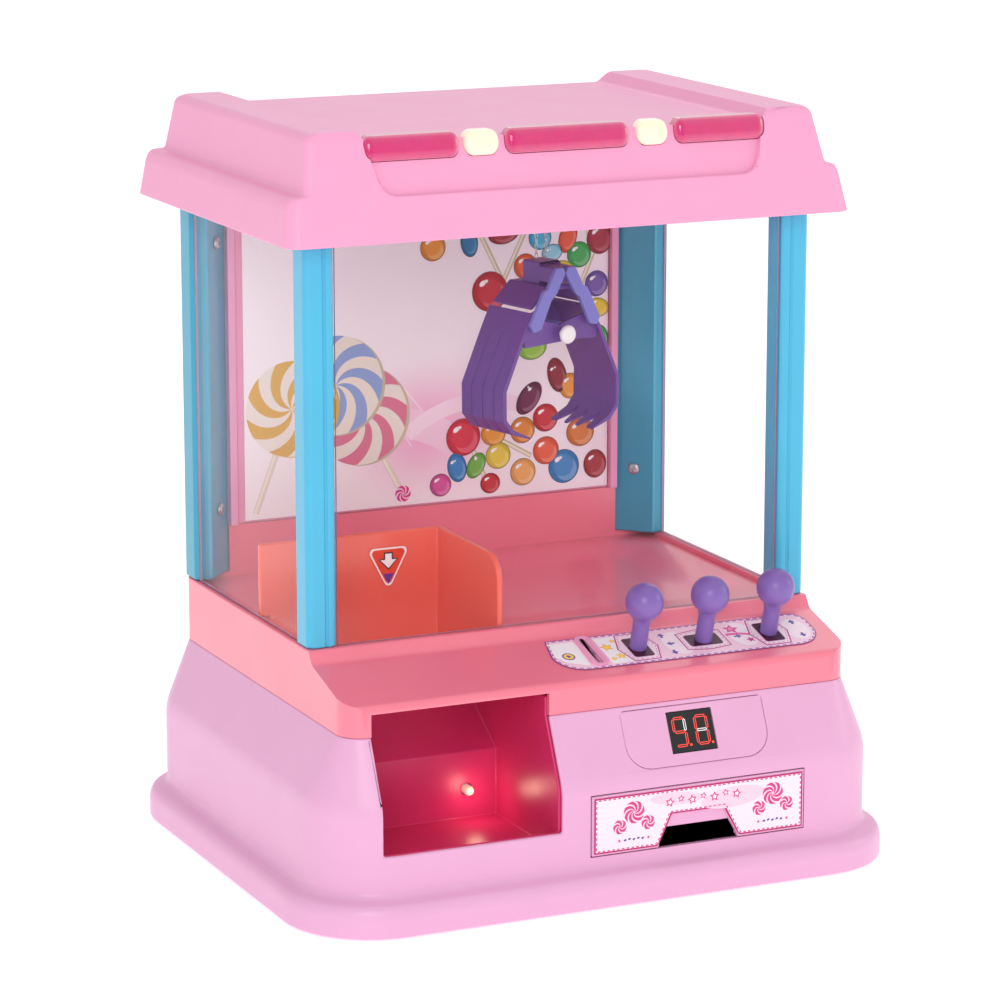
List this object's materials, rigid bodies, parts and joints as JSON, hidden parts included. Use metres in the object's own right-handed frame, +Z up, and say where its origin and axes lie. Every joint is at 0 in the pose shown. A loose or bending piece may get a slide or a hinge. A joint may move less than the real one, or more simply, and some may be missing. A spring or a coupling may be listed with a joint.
{
  "type": "claw crane machine",
  "caption": "Table-top toy claw crane: pink base and roof, clear-sided cage, joystick panel, prize chute and bin, token drawer, and a two-jaw claw on a gantry.",
  "frame": {"origin": "middle of the base on the surface that it stands on", "axes": "+Z up along the cabinet's height, -Y to the front with the controls, +X to the right as seen from the front"},
  "size_m": [0.31, 0.262, 0.3625],
  "materials": {
    "pink_body": "moulded gloss, light orchid pink",
    "pink_roof": "moulded gloss, candy pink",
    "coral": "moulded gloss, coral red",
    "crimson": "moulded semi-gloss, deep crimson",
    "cyan": "moulded gloss, sky blue",
    "teal": "moulded gloss, teal blue",
    "clear": "clear polystyrene sheet",
    "violet": "moulded gloss, violet",
    "light_violet": "moulded gloss, light violet",
    "lilac": "moulded gloss, lilac",
    "white": "moulded, white",
    "magenta_lens": "tinted translucent lens",
    "amber_lens": "frosted lamp lens, lit",
    "label": "printed film label",
    "red_label": "printed film warning label",
    "black": "black window with red digits",
    "green_board": "circuit board laminate",
    "grey_plastic": "moulded, grey",
    "rubber": "black rubber",
    "steel": "nickel plated steel"
  },
  "bodies": {
    "cabinet": {"base_shell": "pink_body", "base_floor": "pink_body", "battery_door": "pink_body", "counter_bezel": "pink_body", "roof_shell": "pink_roof", "ceiling_frame": "pink_roof", "back_frame": "pink_roof", "deck_frame": "coral", "play_tray": "coral", "prize_chute": "coral", "prize_bin": "crimson", "front_left_post": "cyan", "front_right_post": "cyan", "rear_left_post": "teal", "rear_right_post": "teal", "front_window": "clear", "left_window": "clear", "right_window": "clear", "lens_left": "magenta_lens", "lens_middle": "magenta_lens", "lens_right": "magenta_lens", "lamp_left": "amber_lens", "lamp_right": "amber_lens", "bin_led": "amber_lens", "control_label": "label", "chute_label": "red_label", "counter_display": "black", "circuit_board": "green_board", "battery_box": "grey_plastic", "coin_chute": "grey_plastic", "rubber_foot_1": "rubber", "rubber_foot_2": "rubber", "rubber_foot_3": "rubber", "rubber_foot_4": "rubber", "post_screw_left_high": "steel", "post_screw_left_low": "steel", "post_screw_right_high": "steel", "post_screw_right_low": "steel"},
    "rear_door": {"rear_door": "pink_roof", "rear_print": "label"},
    "token_drawer": {"token_drawer": "pink_body", "drawer_label": "label"},
    "joystick_1": {"joystick_1": "lilac"},
    "joystick_2": {"joystick_2": "lilac"},
    "joystick_3": {"joystick_3": "lilac"},
    "power_switch": {"power_switch": "black"},
    "bridge": {"gantry_bridge": "grey_plastic"},
    "trolley": {"trolley": "white", "hoist_motor": "steel", "chain_left": "steel", "chain_right": "steel"},
    "winch_drum": {"winch_drum": "white"},
    "claw_head": {"claw_head": "violet"},
    "claw_hub": {"claw_hub": "light_violet", "claw_pin": "white"},
    "scoop_left": {"scoop_left": "violet"},
    "scoop_right": {"scoop_right": "violet"},
    "link_left": {"link_left": "light_violet"},
    "link_right": {"link_right": "light_violet"}
  },
  "joints": [
    {"name": "door_hinge", "type": "hinge", "parent": "cabinet", "child": "rear_door", "pos_m": [-0.1017, 0.1035, 0.2], "axis": [0, 0, 1], "range_deg": [0, 110]},
    {"name": "drawer_slide", "type": "slide", "parent": "cabinet", "child": "token_drawer", "axis": [0, -1, 0], "range_m": [0, 0.06]},
    {"name": "power_slide", "type": "slide", "parent": "cabinet", "child": "power_switch", "axis": [1, 0, 0], "range_m": [0, 0.004]},
    {"name": "stick_1_tilt", "type": "hinge", "parent": "cabinet", "child": "joystick_1", "pos_m": [0.0285, -0.0813, 0.10132], "axis": [1, 0, 0], "range_deg": [-16, 16], "stiffness_Nm_per_rad": 0.08},
    {"name": "stick_2_tilt", "type": "hinge", "parent": "cabinet", "child": "joystick_2", "pos_m": [0.0635, -0.0813, 0.10132], "axis": [0, 0.9628, 0.2701], "range_deg": [-16, 16], "stiffness_Nm_per_rad": 0.08},
    {"name": "stick_3_tilt", "type": "hinge", "parent": "cabinet", "child": "joystick_3", "pos_m": [0.099, -0.0813, 0.10132], "axis": [1, 0, 0], "range_deg": [-16, 16], "stiffness_Nm_per_rad": 0.08},
    {"name": "bridge_slide", "type": "slide", "parent": "cabinet", "child": "bridge", "axis": [0, 1, 0], "range_m": [-0.053, 0.045]},
    {"name": "trolley_slide", "type": "slide", "parent": "bridge", "child": "trolley", "axis": [1, 0, 0], "range_m": [-0.104, 0.056]},
    {"name": "hoist", "type": "slide", "parent": "trolley", "child": "claw_head", "axis": [0, 0, -1], "range_m": [-0.018, 0.07], "deforming": ["chain_left", "chain_right"]},
    {"name": "drum_spin", "type": "hinge", "parent": "trolley", "child": "winch_drum", "pos_m": [0.029, 0.0327, 0.343], "axis": [1, 0, 0], "range_deg": [-150, 565]},
    {"name": "claw_close", "type": "hinge", "parent": "claw_hub", "child": "scoop_right", "pos_m": [0.029, 0.0255, 0.2475], "axis": [-0.2419, 0.9703, 0], "range_deg": [-8, 20]},
    {"name": "claw_close_left", "type": "hinge", "parent": "claw_hub", "child": "scoop_left", "pos_m": [0.029, 0.0255, 0.2475], "axis": [-0.2419, 0.9703, 0], "range_deg": [-20, 8]},
    {"name": "hub_lift", "type": "slide", "parent": "claw_head", "child": "claw_hub", "axis": [0, 0, 1], "range_m": [-0.0027, 0.0067]},
    {"name": "link_right_swing", "type": "hinge", "parent": "claw_head", "child": "link_right", "pos_m": [0.03694, 0.00893, 0.277], "axis": [-0.2419, 0.9703, 0], "range_deg": [-1.5, 1]},
    {"name": "link_left_swing", "type": "hinge", "parent": "claw_head", "child": "link_left", "pos_m": [0.02976, 0.00714, 0.277], "axis": [-0.2419, 0.9703, 0], "range_deg": [-1, 1.5]}
  ],
  "couplings": [
    {"joint": "drum_spin", "follows": "hoist", "rad_per_m": 138.89},
    {"joint": "claw_close_left", "follows": "claw_close", "ratio": -1},
    {"joint": "hub_lift", "follows": "claw_close", "m_per_rad": 0.019},
    {"joint": "link_right_swing", "follows": "claw_close", "ratio": -0.05},
    {"joint": "link_left_swing", "follows": "claw_close", "ratio": 0.05}
  ]
}
